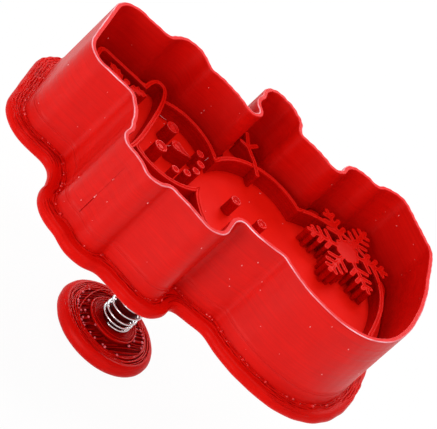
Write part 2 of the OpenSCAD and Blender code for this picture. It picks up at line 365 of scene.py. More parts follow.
def red_print(name, light=(0.74, 0.0046, 0.0017, 1), dark=(0.65, 0.0030, 0.0011, 1), rough=(0.34, 0.50),
              axis="Z", pitch=0.2, layers=0.3, grain=0.2, specular=0.18):
    """Printed red plastic: fine layer lines along an axis, uneven gloss and slight colour changes."""
    material, tree, shader = new_material(name)
    place = node(tree, "ShaderNodeTexCoord").outputs["Object"]
    cloud = node(tree, "ShaderNodeTexNoise", {
        "Vector": place, "Scale": 160.0, "Detail": 4.0, "Roughness": 0.6})
    streak_place = node(tree, "ShaderNodeMapping", {"Vector": place, "Scale": (60.0, 60.0, 2600.0)})
    streak = node(tree, "ShaderNodeTexNoise", {
        "Vector": streak_place.outputs["Vector"], "Scale": 1.0, "Detail": 3.0})
    both = node(tree, "ShaderNodeMath", {
        0: cloud.outputs["Fac"], 1: streak.outputs["Fac"]}, operation="MULTIPLY")
    share = node(tree, "ShaderNodeMapRange", {
        "Value": both.outputs[0], "From Min": 0.12, "From Max": 0.38})
    tone = node(tree, "ShaderNodeMix", {
        "Factor": share.outputs["Result"], "A": dark, "B": light}, data_type="RGBA")
    tree.links.new(tone.outputs["Result"], shader.inputs["Base Color"])
    gloss = node(tree, "ShaderNodeMapRange", {
        "Value": streak.outputs["Fac"], "From Min": 0.3, "From Max": 0.7,
        "To Min": rough[0], "To Max": rough[1]})
    tree.links.new(gloss.outputs["Result"], shader.inputs["Roughness"])
    lines = node(tree, "ShaderNodeTexWave", {
        "Vector": place, "Scale": BAND_LENGTH / (pitch * MM), "Distortion": 0.4, "Detail": 2.0},
        wave_type="BANDS", bands_direction=axis)
    first = node(tree, "ShaderNodeBump", {
        "Height": lines.outputs["Fac"], "Strength": layers, "Distance": LAYER_HEIGHT})
    fine = node(tree, "ShaderNodeTexNoise", {"Vector": place, "Scale": 900.0, "Detail": 3.0})
    second = node(tree, "ShaderNodeBump", {
        "Height": fine.outputs["Fac"], "Strength": grain, "Distance": GRAIN_HEIGHT,
        "Normal": first.outputs["Normal"]})
    tree.links.new(second.outputs["Normal"], shader.inputs["Normal"])
    shader.inputs["IOR"].default_value = 1.46
    shader.inputs["Specular IOR Level"].default_value = specular
    return material


def pale_speck(name):
    """Small stretched bits of the same plastic, paler where they are thin."""
    material, tree, shader = new_material(name)
    place = node(tree, "ShaderNodeTexCoord").outputs["Object"]
    cloud = node(tree, "ShaderNodeTexNoise", {"Vector": place, "Scale": 400.0, "Detail": 2.0})
    tone = node(tree, "ShaderNodeMix", {
        "Factor": cloud.outputs["Fac"], "A": (0.80, 0.12, 0.13, 1), "B": (0.92, 0.55, 0.56, 1)},
        data_type="RGBA")
    tree.links.new(tone.outputs["Result"], shader.inputs["Base Color"])
    bump = node(tree, "ShaderNodeBump", {
        "Height": cloud.outputs["Fac"], "Strength": 0.2, "Distance": LAYER_HEIGHT})
    tree.links.new(bump.outputs["Normal"], shader.inputs["Normal"])
    shader.inputs["Roughness"].default_value = 0.35
    return material


def steel_wire(name):
    """Drawn steel wire with fine scratches and a few dull places."""
    material, tree, shader = new_material(name)
    place = node(tree, "ShaderNodeTexCoord").outputs["Object"]
    cloud = node(tree, "ShaderNodeTexNoise", {"Vector": place, "Scale": 700.0, "Detail": 3.0})
    tone = node(tree, "ShaderNodeMix", {
        "Factor": cloud.outputs["Fac"], "A": (0.52, 0.52, 0.53, 1), "B": (0.80, 0.80, 0.81, 1)},
        data_type="RGBA")
    tree.links.new(tone.outputs["Result"], shader.inputs["Base Color"])
    gloss = node(tree, "ShaderNodeMapRange", {
        "Value": cloud.outputs["Fac"], "To Min": 0.16, "To Max": 0.26})
    tree.links.new(gloss.outputs["Result"], shader.inputs["Roughness"])
    scratch_place = node(tree, "ShaderNodeMapping", {"Vector": place, "Scale": (1500.0, 1500.0, 9000.0)})
    scratch = node(tree, "ShaderNodeTexNoise", {"Vector": scratch_place.outputs["Vector"], "Scale": 1.0})
    bump = node(tree, "ShaderNodeBump", {
        "Height": scratch.outputs["Fac"], "Strength": 0.03, "Distance": SCRATCH_HEIGHT})
    tree.links.new(bump.outputs["Normal"], shader.inputs["Normal"])
    shader.inputs["Metallic"].default_value = 1.0
    return material


wall_red = red_print("wall_red", light=(0.755, 0.0048, 0.0018, 1), dark=(0.655, 0.0032, 0.0012, 1),
                     rough=(0.32, 0.50), layers=0.35)
flange_red = red_print("flange_red", rough=(0.30, 0.45), layers=0.15, specular=0.06)
under_red = red_print("under_red", axis="DIAGONAL", pitch=0.45, layers=0.5, rough=(0.30, 0.45), specular=0.12)
# Painted deep shade: a near-black copy of the red print for the knob's hollow ring.
deep_shade_red = red_print("deep_shade_red", light=(0.30, 0.0011, 0.0006, 1), dark=(0.15, 0.0007, 0.0004, 1), layers=0.1,
                    specular=0.01)
strand_red = red_print("strand_red", light=(0.74, 0.0050, 0.0020, 1), dark=(0.56, 0.0024, 0.0010, 1),
                       rough=(0.26, 0.40), layers=0.05, grain=0.15, specular=0.05)
# Painted shade: a darker copy of the red print for the beads in the flange's gaps, the seam, the knob's fill
# lines and its boss.
shaded_red = red_print("shaded_red", light=(0.52, 0.0022, 0.0011, 1), dark=(0.29, 0.0011, 0.0006, 1),
                    rough=(0.26, 0.40), layers=0.05, grain=0.15, specular=0.015)
plate_red = red_print("plate_red", light=(0.84, 0.0068, 0.0014, 1), dark=(0.77, 0.0048, 0.0010, 1),
                      axis="DIAGONAL", pitch=0.45, layers=0.12, rough=(0.55, 0.75), specular=0.06)
relief_red = red_print("relief_red", light=(0.76, 0.0060, 0.0016, 1), dark=(0.66, 0.0036, 0.0010, 1),
                       layers=0.2, rough=(0.42, 0.60), specular=0.08)
# Painted shade: a darker copy of the red print for the upright sides of the raised details.
relief_side_shade = red_print("relief_side_shade", light=(0.60, 0.0036, 0.0012, 1), dark=(0.42, 0.0020, 0.0007, 1),
                        layers=0.4, rough=(0.45, 0.60), specular=0.06)
ring_red = red_print("ring_red", light=(0.80, 0.008, 0.005, 1), dark=(0.60, 0.0030, 0.0014, 1),
                     rough=(0.30, 0.42), layers=0.05, specular=0.11)
# Painted sheen: a paler red for the top of the cutting edge.
rim_sheen_red = red_print("rim_sheen_red", light=(0.80, 0.014, 0.015, 1), dark=(0.72, 0.007, 0.007, 1),
                    rough=(0.45, 0.60), layers=0.05, specular=0.12)
# Painted highlight: a pale pink band, broken by noise, on the upper part of the cutting edge's outer
# rounding.
edge_highlight_pink = red_print("edge_highlight_pink", light=(0.97, 0.60, 0.68, 1), dark=(0.76, 0.05, 0.06, 1),
                      rough=(0.30, 0.42), layers=0.05, specular=0.3)
knob_red = red_print("knob_red", light=(0.74, 0.0046, 0.0018, 1), dark=(0.64, 0.0030, 0.0012, 1),
                     layers=0.1, specular=0.09)
knob_line = red_print("knob_line", light=(0.74, 0.0050, 0.0020, 1), dark=(0.52, 0.0026, 0.0010, 1),
                      rough=(0.20, 0.32), layers=0.05, grain=0.15, specular=0.08)
# Painted shade: the rod is coloured near black for the shade between the spring's turns.
rod_shade_red = red_print("rod_shade_red", light=(0.08, 0.0008, 0.0006, 1), dark=(0.05, 0.0006, 0.0004, 1),
                    rough=(0.30, 0.45), specular=0.04)
# Painted glints: a pale pink for the drops at the ends of the knob's fill lines.
glint_pink = red_print("glint_pink", light=(0.88, 0.24, 0.30, 1), dark=(0.78, 0.08, 0.10, 1),
                     rough=(0.15, 0.25), layers=0.05, grain=0.1, specular=0.5)
blob_red = red_print("blob_red", light=(0.82, 0.020, 0.020, 1), dark=(0.66, 0.006, 0.005, 1),
                     rough=(0.12, 0.22), layers=0.05, grain=0.1, specular=0.45)
speck_pink = pale_speck("speck_pink")
steel = steel_wire("spring_wire")

NODE_LOOKS = {"back_plate": wall_red, "cutter_wall": wall_red, "stamp_plate": plate_red,
              "plunger_rod": rod_shade_red, "knob": knob_red, "return_spring": steel}
for name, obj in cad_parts.items():
    obj.data.materials.clear()
    obj.data.materials.append(NODE_LOOKS.get(name, relief_red))


# Cutter. Heights come from the CAD nodes, and the other lengths repeat part.scad's or follow the photograph.

CUTTER_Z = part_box("back_plate")[0].z
FLANGE_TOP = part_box("cutter_wall")[0].z
FLOOR_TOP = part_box("back_plate")[1].z
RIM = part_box("cutter_wall")[1].z
FLANGE_R = (FLANGE_TOP - CUTTER_Z) / 2
WALL = 1.1 * MM
# Steps along the two outlines, and rings up the plain parts of the wall's outside and inside.
FLANGE_STEP = 0.5 * MM
WALL_STEP = 0.4 * MM
OUTER_RINGS, INNER_RINGS = 22, 14
# How far the wall's foot stands out and sinks in, and how far its plain parts stay off the rim.
WALL_FOOT = 0.10 * MM
SINK = 0.1 * MM
EDGE_BAND = 0.8 * MM
# Radii of the cutting edge's outer and inner corner.
OUTER_EDGE_R = 0.26 * MM
INNER_EDGE_R = 0.12 * MM
# The ridge where each layer of the wall starts.
SEAM_PLACE = np.array([-32.7, 27.1]) * MM
SEAM_WIDTH = 0.35 * MM
SEAM_RISE = 0.10 * MM
# The spring's seat and the rod's guide.
SEAT_R = 5.0 * MM
SEAT_DEPTH = 1.5 * MM
GUIDE_R = 3.1 * MM
BORE_POINTS = 64

# The line round the wall's lower part, where the print changed: rise over GHOST_Z and inset, in mm.
GHOST_Z = FLANGE_TOP + 4.1 * MM
GHOST_LINE = ((-0.9, -0.12), (-0.55, -0.12), (-0.45, 0.10), (-0.3, 0.12), (-0.15, -0.12), (0.05, -0.10),
              (0.15, 0.0))


def build_wall():
    """The cutting wall: a thin upright band with a rounded, slightly uneven edge and a ridge at the seam."""
    line = resample(slice_loops("cutter_wall", (FLANGE_TOP + RIM) / 2)[0], WALL_STEP, passes=2)
    n = len(line)
    total = length_of(line)
    normal = outward(line)
    edge = ripple(n, (2.2, 4.5, 9), total) * 0.05 * MM
    bow = ripple(n, (9, 17), total) * 0.05 * MM
    seam_at = np.argmin(np.linalg.norm(line - SEAM_PLACE, axis=1))
    along = np.abs((np.arange(n) - seam_at + n // 2) % n - n // 2) * total / n
    seam = np.exp(-(along / SEAM_WIDTH) ** 2)
    rings = []

    def ring(inset, z, wave=0.0, lift=0.0, ridge=0.0, sway=0.0):
        shift = wave * bow + ridge * seam + sway * edge - inset
        rings.append(at_height(line + normal * shift[:, None], z + lift * edge))

    ring(-WALL_FOOT, FLANGE_TOP - SINK)
    ring(-WALL_FOOT, FLANGE_TOP + 0.5 * MM)
    for rise, inset in GHOST_LINE:
        ring(inset * MM, GHOST_Z + rise * MM, 0.3)
    for z in np.linspace(GHOST_Z + EDGE_BAND, RIM - EDGE_BAND, OUTER_RINGS):
        ring(0.0, z, 1.0, ridge=SEAM_RISE * (1 + 0.6 * rng.standard_normal()))
    r = OUTER_EDGE_R
    for a in np.radians(np.linspace(0, 90, 5)):
        ring(r - r * math.cos(a), RIM - r + r * math.sin(a), 1.0, 1.0, sway=0.6)
    pale = len(rings)
    ring(0.36 * MM, RIM, 1.0, 1.0)
    ring(WALL * 0.6, RIM - 0.03 * MM, 1.0, 0.6)
    ring(WALL * 0.8, RIM, 1.0, 0.8)
    r = INNER_EDGE_R
    for a in np.radians(np.linspace(90, 0, 4)):
        ring(WALL - r + r * math.cos(a), RIM - r + r * math.sin(a), 1.0, 0.8)
    top = len(rings)
    for z in np.linspace(RIM - EDGE_BAND, FLOOR_TOP - 0.5 * MM, INNER_RINGS):
        ring(WALL, z, 0.8)
    ring(WALL, FLANGE_TOP - SINK)
    wall = add_mesh("cutting_wall", np.vstack(rings), loft(rings, wrap=True), "cutter", wall_red)
    wall.data.materials.append(rim_sheen_red)
    wall.data.materials.append(edge_highlight_pink)
    # Painted highlight and sheen: the upper outer rounding of the edge is pale pink, and the top and inner
    # rounding a paler red.
    look = np.zeros(len(rings), dtype=np.int32)
    look[pale - 1:top - 1] = 1
    look[pale - 4:pale - 1] = 2
    wall.data.polygons.foreach_set("material_index", np.repeat(look, n))
    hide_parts("cutter_wall")
    return line, seam_at


def build_back(wall_line):
    """The back plate: a flange with a full round edge, the spring's seat and the rod's guide."""
    middle = CUTTER_Z + FLANGE_R
    line = resample(slice_loops("back_plate", middle)[0], FLANGE_STEP, passes=3)
    normal = outward(line)
    wave = ripple(len(line), (6, 14), length_of(line)) * 0.06 * MM
    bm = bmesh.new()
    rows = []
    for a in np.radians(np.linspace(-90, 90, 11)):
        inset = FLANGE_R - FLANGE_R * math.cos(a) + wave * math.cos(a)
        row = at_height(line - normal * inset[:, None], middle + FLANGE_R * math.sin(a))
        rows.append(ring_verts(bm, row))
    for a, b in zip(rows, rows[1:]):
        join_rings(bm, a, b)
    seat_z = CUTTER_Z + SEAT_DEPTH
    ray = turn_rays(BORE_POINTS)
    mouth = ring_verts(bm, at_height(ray * SEAT_R, CUTTER_Z))
    seat_out = ring_verts(bm, at_height(ray * SEAT_R, seat_z))
    seat_in = ring_verts(bm, at_height(ray * GUIDE_R, seat_z))
    top_in = ring_verts(bm, at_height(ray * GUIDE_R, FLOOR_TOP))
    for a, b in ((seat_out, mouth), (seat_in, seat_out), (top_in, seat_in)):
        join_rings(bm, a, b)
    fill(bm, [rows[0], mouth], False)
    inner = wall_line - outward(wall_line) * (WALL - 0.05 * MM)
    inner_low = ring_verts(bm, at_height(inner, FLANGE_TOP))
    inner_top = ring_verts(bm, at_height(inner, FLOOR_TOP))
    join_rings(bm, inner_low, inner_top)
    fill(bm, [inner_top, top_in], True)
    fill(bm, [rows[-1], inner_low], True)
    back = finish_bmesh(bm, "flanged_back", "cutter", flange_red)
    back.data.materials.append(under_red)
    for face in back.data.polygons:
        level = abs(face.normal.z) > LEVEL
        face.material_index = int(level and face.center.z < FLANGE_TOP - SINK)
    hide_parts("back_plate")
    return line


# Places where the flange's strands lie loose over its whole width, and where they do so beside the wall
# only: x, y and reach in mm, and weight.
ENDS = ((-9, 50, 13, 1.0), (9, 50, 13, 1.0), (-17, 43, 7, 1.0), (-34, 33, 6, 0.7), (-4, -47.5, 9, 0.9),
        (-28, -36, 8, 0.9), (-27.5, -4, 6, 0.6))
CORNERS = ((-21, 34, 6, 1.0), (-26, -14, 7, 1.0), (-33, 12, 9, 0.9), (-30, -32, 12, 0.6), (-6, -47, 18, 0.7),
           (-27, -5, 8, 1.0), (19, 36, 6, 1.0), (24, 16, 6, 1.0), (26, -13, 6, 1.0), (34, -30, 12, 0.7))
# Rows of strands on the flange, of which the outer ones follow ENDS alone, with the first one's inset, their
# pitch and the lengths of their waves in mm.
FLANGE_ROWS = 5
OUTER_ROWS = 3
ROW_START, ROW_PITCH = 0.55, 0.58
LOOSE_WAVES = (3, 7, 17)
# Blobs lie closer together where the strands beside the wall are looser than this.
CROWDED = 0.55


def nearness(line, spots, base):
    """A base value plus how near each point of a line is to the spots."""
    out = np.full(len(line), base)
    for x, y, reach, weight in spots:
        gap = np.linalg.norm(line - np.array([x, y]) * MM, axis=1)
        out += weight * np.exp(-(gap / (reach * MM)) ** 2)
    return out


def stringiness(line):
    """How loose the flange's strands are at each point, over its whole width and beside the wall."""
    whole = nearness(line, ENDS, 0.0)
    inner = nearness(line, CORNERS, 0.1)
    return np.clip(whole, 0, 1), np.clip(inner + whole, 0, 1)


def build_flange_strands(wall_line, flange_line):
    """The strands on top of the flange, dark beads in the gaps between them as painted shade, and the blobs
    along the foot of the wall.
    """
    normal = outward(flange_line)
    whole, inner = stringiness(flange_line)
    total = length_of(flange_line)
    strands, shade_beads, blobs = [], [], []
    for k in range(FLANGE_ROWS):
        inset = (ROW_START + ROW_PITCH * k) * MM
        z = CUTTER_Z + FLANGE_R + math.sqrt(FLANGE_R * FLANGE_R - max(FLANGE_R - inset, 0) ** 2)
        share = whole if k < OUTER_ROWS else inner
        # Where the strands lie firm, they sink into the flange and grow thin.
        fade = np.clip(1.5 * share - 0.25 + 0.3 * ripple(len(share), (9, 23), total), 0, 1)
        line = flange_line - normal * inset
        rise = (0.18 * fade - 0.24) * MM
        strands.append(bead(line, z + rise, (0.08 + 0.18 * fade) * MM, wobble=0.15, waves=LOOSE_WAVES))
        # A dark bead halfway to the next row is painted shade in the gap between the strands.
        line = flange_line - normal * (inset + ROW_PITCH / 2 * MM)
        rise = (0.14 * fade - 0.19) * MM
        shade_beads.append(bead(line, z + rise, (0.03 + 0.15 * fade) * MM, wobble=0.10, sides=6, waves=LOOSE_WAVES))
    normal = outward(wall_line)
    inner = stringiness(wall_line)[1]
    for out, rise in ((0.62, 0.10), (0.24, 0.26)):
        line = wall_line + normal * out * MM
        strands.append(bead(line, FLANGE_TOP + rise * MM, (0.12 + 0.14 * inner) * MM, wobble=0.09))
    # A dark bead between the two strands along the wall's foot is painted shade in the corner.
    line = wall_line + normal * 0.44 * MM
    shade_beads.append(bead(line, FLANGE_TOP + 0.14 * MM, (0.15 + 0.09 * inner) * MM, wobble=0.05, sides=6))
    place = 0.0
    step = length_of(wall_line) / len(wall_line)
    while place < len(wall_line):
        i = int(place)
        size = (0.11 + (0.12 + 0.26 * inner[i]) * rng.random() ** 2.5) * MM
        at = wall_line[i] + normal[i] * rng.uniform(0.05, 0.35 + 0.6 * inner[i]) * MM
        blobs.append(ball((*at, FLANGE_TOP + rng.uniform(0.25, 0.50) * MM), (size, size, size)))
        gap = rng.exponential(0.9) + 0.3 if inner[i] > CROWDED else rng.exponential(2.4) + 0.6
        place += gap * MM / step
    gather("flange_strands", strands, "cutter", strand_red)
    gather("flange_shade_beads", shade_beads, "cutter", shaded_red)
    gather("flange_blobs", blobs, "cutter", blob_red)


SEAM_POINTS = 60
SLOT_POINTS = 20
# Place out of the wall, start over the flange, end under the rim, and half thickness, in mm.
SEAM_OUT, SEAM_START, SEAM_END = 0.09, 4.2, 4.0
SLOT_R, SEAM_R = 0.10, 0.02
# Points of the seam that carry a blob, and its share of the full size.
SEAM_BLOBS = ((SLOT_POINTS, 0.8), (SLOT_POINTS + 2, 0.5), (43, 0.4))
# Half sizes of a full blob, in mm.
SEAM_BLOB = (0.20, 0.20, 0.34)


def build_seam(wall_line, seam_at):
    """The print seam: a slot low on the wall and a fine line above it, both painted dark as shade, and a few
    blobs on both.
    """
    normal = outward(wall_line)[seam_at]
    at = wall_line[seam_at] + normal * SEAM_OUT * MM
    z = np.linspace(FLANGE_TOP + SEAM_START * MM, RIM - SEAM_END * MM, SEAM_POINTS)
    thick = np.where(np.arange(SEAM_POINTS) < SLOT_POINTS, SLOT_R, SEAM_R) * MM
    sway = np.cumsum(rng.normal(0, 0.012, SEAM_POINTS)) * MM
    along = np.array([-normal[1], normal[0]])
    path = np.column_stack([at + along * sway[:, None], z])
    size = thick * (1 + 0.3 * rng.standard_normal(SEAM_POINTS))
    across = np.tile((1.0, 0.0, 0.0), (SEAM_POINTS, 1))
    up = np.tile((0.0, -1.0, 0.0), (SEAM_POINTS, 1))
    add_mesh("print_seam", *sweep(path, across, up, size, sides=6), "cutter", shaded_red)
    blobs = [ball(path[i], np.array(SEAM_BLOB) * share * MM) for i, share in SEAM_BLOBS]
    gather("seam_blobs", blobs, "cutter", speck_pink)


WALL_SPECKS = 110


def build_specks(wall_line):
    """Small pale specks of plastic that stick to both sides of the wall, a third of them inside."""
    parts = []
    normal = outward(wall_line)
    for k, i in enumerate(rng.integers(0, len(wall_line), WALL_SPECKS)):
        inside = k % 3 == 2
        size = rng.uniform(0.07, 0.15) * MM
        at = wall_line[i] + normal[i] * (0.02 * MM - inside * (WALL + 0.04 * MM))
        z = rng.uniform(RIM - 11 * MM if inside else FLANGE_TOP + 1.5 * MM, RIM - 1.0 * MM)
        parts.append(ball((*at, z), (size, size, size * rng.uniform(0.7, 1.6)), sides=6, rows=4))
    gather("wall_specks", parts, "cutter", speck_pink)


# Stamp

STAMP_SPECKS = 26
# Both ends and the sag of each hair, in mm.
HAIRS = (((5.3, 26.2), (5.5, 24.0), 0.2), ((3.8, 11.7), (5.8, 11.4), 0.2), ((-2.5, 20.8), (-1.3, 20.0), 0.1))
HAIR_R = 0.035 * MM


def build_stamp_bits():
    """Pale specks on the stamp, and the fine hairs that the nozzle drew between its raised details."""
    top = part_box("stamp_plate")[1].z
    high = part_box("hat_outline")[1].z
    outline = slice_loops("stamp_plate", top - 0.5 * MM)[0]
    low_corner, high_corner = outline.min(axis=0), outline.max(axis=0)
    parts = []
    while len(parts) < STAMP_SPECKS:
        p = rng.uniform(low_corner, high_corner)
        size = rng.uniform(0.07, 0.14) * MM
        if contains(outline, p):
            parts.append(ball((*p, top), (size, size, size), sides=6, rows=4))
    for first, last, sag in HAIRS:
        share = np.linspace(0, 1, 14)[:, None]
        flat = np.array(first) * (1 - share) + np.array(last) * share
        z = high / MM - 0.05 - 4 * sag * (share * (1 - share))[:, 0]
        parts.append(tube(np.column_stack([flat, z]) * MM, HAIR_R))
    gather("stamp_specks", parts, "plunger", speck_pink)


# Points less than this far inward, in metres, don't bound the circle.
TOUCHING = 1e-9


def ball_radius(line, normal):
    """Radius at each point of the largest circle inside a closed line that touches it there."""
    out = np.empty(len(line))
    for i in range(len(line)):
        d = line - line[i]
        inward = -(d @ normal[i])
        square = np.einsum("ij,ij->i", d, d)
        good = inward > TOUCHING
        out[i] = np.min(square[good] / (2 * inward[good])) if good.any() else 1.0
    for _ in range(3):
        out = np.minimum(out, smoothed(out))
    return out


RELIEF = ("hat_outline", "hat_holly", "head_outline", "torso_outline", "base_outline", "eyes", "carrot_nose",
          "mouth_coals", "buttons", "right_twig_arm", "left_twig_arm", "snowflake")
RINGED = ("eyes", "carrot_nose", "mouth_coals", "buttons")
# Width of the outer strand, and how many such strands a ringed top is wide on each side.
STRAND = 0.55 * MM
RING_STRANDS = 1.8
RELIEF_STEP = 0.16 * MM

# The rounded top of the outer strand, and of the ring inside it: inset as a share of the strand, and rise
# over the detail's height in mm.
OUTER_STRAND = ((0.0, -0.44), (-0.10, -0.32), (-0.12, -0.20), (-0.04, -0.06), (0.16, 0.0), (0.40, 0.03),
                (0.62, 0.0), (0.80, -0.09), (0.92, -0.20))
INNER_STRAND = ((0.12, -0.20), (0.26, -0.05), (0.50, 0.02), (0.74, -0.05), (0.90, -0.20))
OUTER_SHARE = OUTER_STRAND[-1][0]


def relief_rows(bm, line, normal, low, high, ringed):
    """Rings of vertices up one side of a raised detail and over the strands of its top."""
    room = ball_radius(line, normal)
    reach = np.minimum(room, STRAND)
    rows = [ring_verts(bm, at_height(line, low)), ring_verts(bm, at_height(line, (low + high) / 2))]
    for share, z in OUTER_STRAND:
        inset = share * reach
        rows.append(ring_verts(bm, at_height(line - normal * inset[:, None], high + z * MM)))
    if ringed:
        more = np.minimum(room, RING_STRANDS * STRAND) - OUTER_SHARE * reach
        for share, z in INNER_STRAND:
            inset = OUTER_SHARE * reach + share * more
            rows.append(ring_verts(bm, at_height(line - normal * inset[:, None], high + z * MM)))
    return rows


def build_relief(name):
    """A raised detail with straight sides, whose top shows the strands that it was printed with."""
    low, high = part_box(name)
    loops = slice_loops(name, (low.z + high.z) / 2)
    depth = [sum(contains(other, loop[0]) for other in loops if other is not loop) for loop in loops]
    ringed = name in RINGED
    bm = bmesh.new()
    for loop, level in zip(loops, depth):
        if level % 2:
            continue
        holes = [h for h, d in zip(loops, depth) if d == level + 1 and contains(loop, h[0])]
        ends = []
        for line, sign in [(loop, 1)] + [(h, -1) for h in holes]:
            line = resample(line, RELIEF_STEP, passes=1)
            rows = relief_rows(bm, line, outward(line) * sign, low.z, high.z, ringed)
            for a, b in zip(rows, rows[1:]):
                join_rings(bm, *((a, b) if sign > 0 else (b, a)))
            ends.append(rows[-1])
        fill(bm, ends, True)
    obj = finish_bmesh(bm, name + "_print", "plunger", ring_red if ringed else relief_red)
    obj.data.materials.append(relief_side_shade)
    # Painted shade: the upright sides take the darker red.
    for face in obj.data.polygons:
        face.material_index = int(abs(face.normal.z) < UPRIGHT)
    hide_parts(name)


# Plunger

KNOB_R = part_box("knob")[1].x
KNOB_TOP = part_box("knob")[1].z
# Radius of the knob's round edge, and the rise of its top from there to the boss.
KNOB_EDGE = 4.1 * MM / 2
KNOB_RISE = 0.8 * MM
BOSS_R = 6.0 * MM
# The socket that holds the rod.
SOCKET_R = 3.05 * MM
SOCKET_FLOOR = 2.0 * MM
SOCKET_BEVEL = 0.1 * MM

# The hollow ring of the knob's top: radius and depth under the slope, in mm.
HOLLOW = ((11.45, 0.12), (11.2, 0.34), (10.4, 0.38), (9.7, 0.55), (8.5, 0.62), (7.4, 0.62), (6.5, 0.55))
# The side of the boss: radius and depth under its top, in mm.
BOSS_SIDE = ((6.15, 1.0), (6.05, 0.5), (5.95, 0.22), (5.7, 0.10))
# The five ridges on top of the boss: the first one's radius, their pitch, and each one's section, in mm.
BOSS_RIDGES, RIDGE_START, RIDGE_PITCH = 5, 5.4, 0.5
RIDGE = ((0.25, 0.14), (0.0, 0.0), (-0.2, 0.10))


def knob_slope(r):
    """Height of the knob's sloping top at radius r, between its edge and the boss."""
    outer = KNOB_R - KNOB_EDGE
    return 2 * KNOB_EDGE + KNOB_RISE * np.clip((outer - r) / (outer - BOSS_R), 0, 1)


def knob_height(r):
    """Height of the knob's top at radius r, on its round edge too."""
    past = np.clip(r - (KNOB_R - KNOB_EDGE), 0, KNOB_EDGE)
    return np.where(past > 0, KNOB_EDGE + np.sqrt(KNOB_EDGE ** 2 - past ** 2), knob_slope(r))


def build_knob():
    """The knob: a smooth round edge, a hollow ring that the strands lie in, and the spring's boss, with the
    hollow ring and the boss painted dark as shade.
    """
    turns = 240
    ray = turn_rays(turns)
    wave = ripple(turns, (5, 11), 2 * math.pi * KNOB_R) * 0.03 * MM
    rows = []
    for a in np.radians(np.linspace(-90, 78, 13)):
        r = KNOB_R - KNOB_EDGE + KNOB_EDGE * math.cos(a) + wave * math.cos(a)
        rows.append(at_height(ray * r[:, None], KNOB_EDGE + KNOB_EDGE * math.sin(a)))
    hollow_row = len(rows)
    for r, sink in HOLLOW:
        rows.append(at_height(ray * r * MM, knob_slope(r * MM) - sink * MM))
    boss_row = len(rows)
    for r, drop in BOSS_SIDE:
        rows.append(at_height(ray * (r * MM + wave)[:, None], KNOB_TOP - drop * MM))
    for k in range(BOSS_RIDGES):
        middle = RIDGE_START - RIDGE_PITCH * k
        for out, drop in RIDGE:
            rise = ripple(turns, (3, 7), 2 * math.pi * middle * MM) * 0.03 * MM
            crest = rise if drop == 0 else 0
            rows.append(at_height(ray * (middle + out) * MM, KNOB_TOP - drop * MM + crest))
    socket_row = len(rows)
    rows.append(at_height(ray * SOCKET_R, KNOB_TOP - SOCKET_BEVEL))
    rows.append(at_height(ray * SOCKET_R, SOCKET_FLOOR))
    verts = np.vstack(rows + [np.zeros((1, 3))])
    faces = loft(rows)
    centre = len(verts) - 1
    faces += [(centre, (i + 1) % turns, i) for i in range(turns)]
    knob = add_mesh("printed_knob", verts, faces, "plunger", knob_red)
    for material in (deep_shade_red, shaded_red, under_red):
        knob.data.materials.append(material)
    # Painted shade: the hollow ring takes the near-black red and the boss the darker red.
    look = np.zeros(len(faces), dtype=np.int32)
    look[hollow_row * turns:boss_row * turns] = 1
    look[boss_row * turns:socket_row * turns] = 2
    look[-turns:] = 3
    knob.data.polygons.foreach_set("material_index", look)
    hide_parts("knob")


# Radii in mm of the lines along the knob's edge. Those past STEEP_R lie deeper.
EDGE_LINES = (12.35, 11.95, 11.5, 11.1, 10.7, 10.3, 9.9, 9.5)
STEEP_R = 11.6
# Lines round the boss: radius, depth under its top and half thickness, in mm.
BOSS_LINES = ((6.25, 0.34, 0.22), (5.45, 0.02, 0.08))
# The fill lines: their direction, their reach and pitch across it in mm, and the radii in mm between which
# they run.
BAR_TURN = math.radians(-41)
BAR_REACH, BAR_PITCH = 9.0, 0.82
BARS_OUT, BARS_IN = 9.45, 6.75
# The stray thread: angles round the knob in degrees, and radii in mm.
THREAD_TURN = (22, 35, 53, 77, 99, 115, 130, 146, 158)
THREAD_R = (10.2, 9.6, 8.5, 7.8, 8.1, 8.8, 9.5, 10.1, 10.5)


def knob_edge_lines():
    """Strands along the knob's edge and round the boss."""
    turns = 300
    ray = turn_rays(turns)
    lines = []
    for r in EDGE_LINES:
        total = 2 * math.pi * r * MM
        reach = r * MM + ripple(turns, (14, 31), total) * 0.16 * MM
        deep = 0.30 if r > STEEP_R else 0.20
        sink = (deep + 0.10 * ripple(turns, (17, 37), total)) * MM
        lines.append(bead(ray * reach[:, None], knob_height(reach) - sink, 0.18 * MM, wobble=0.05))
    for r, drop, size in BOSS_LINES:
        lines.append(bead(ray * r * MM, KNOB_TOP - drop * MM, size * MM, wobble=0.08))
    return lines


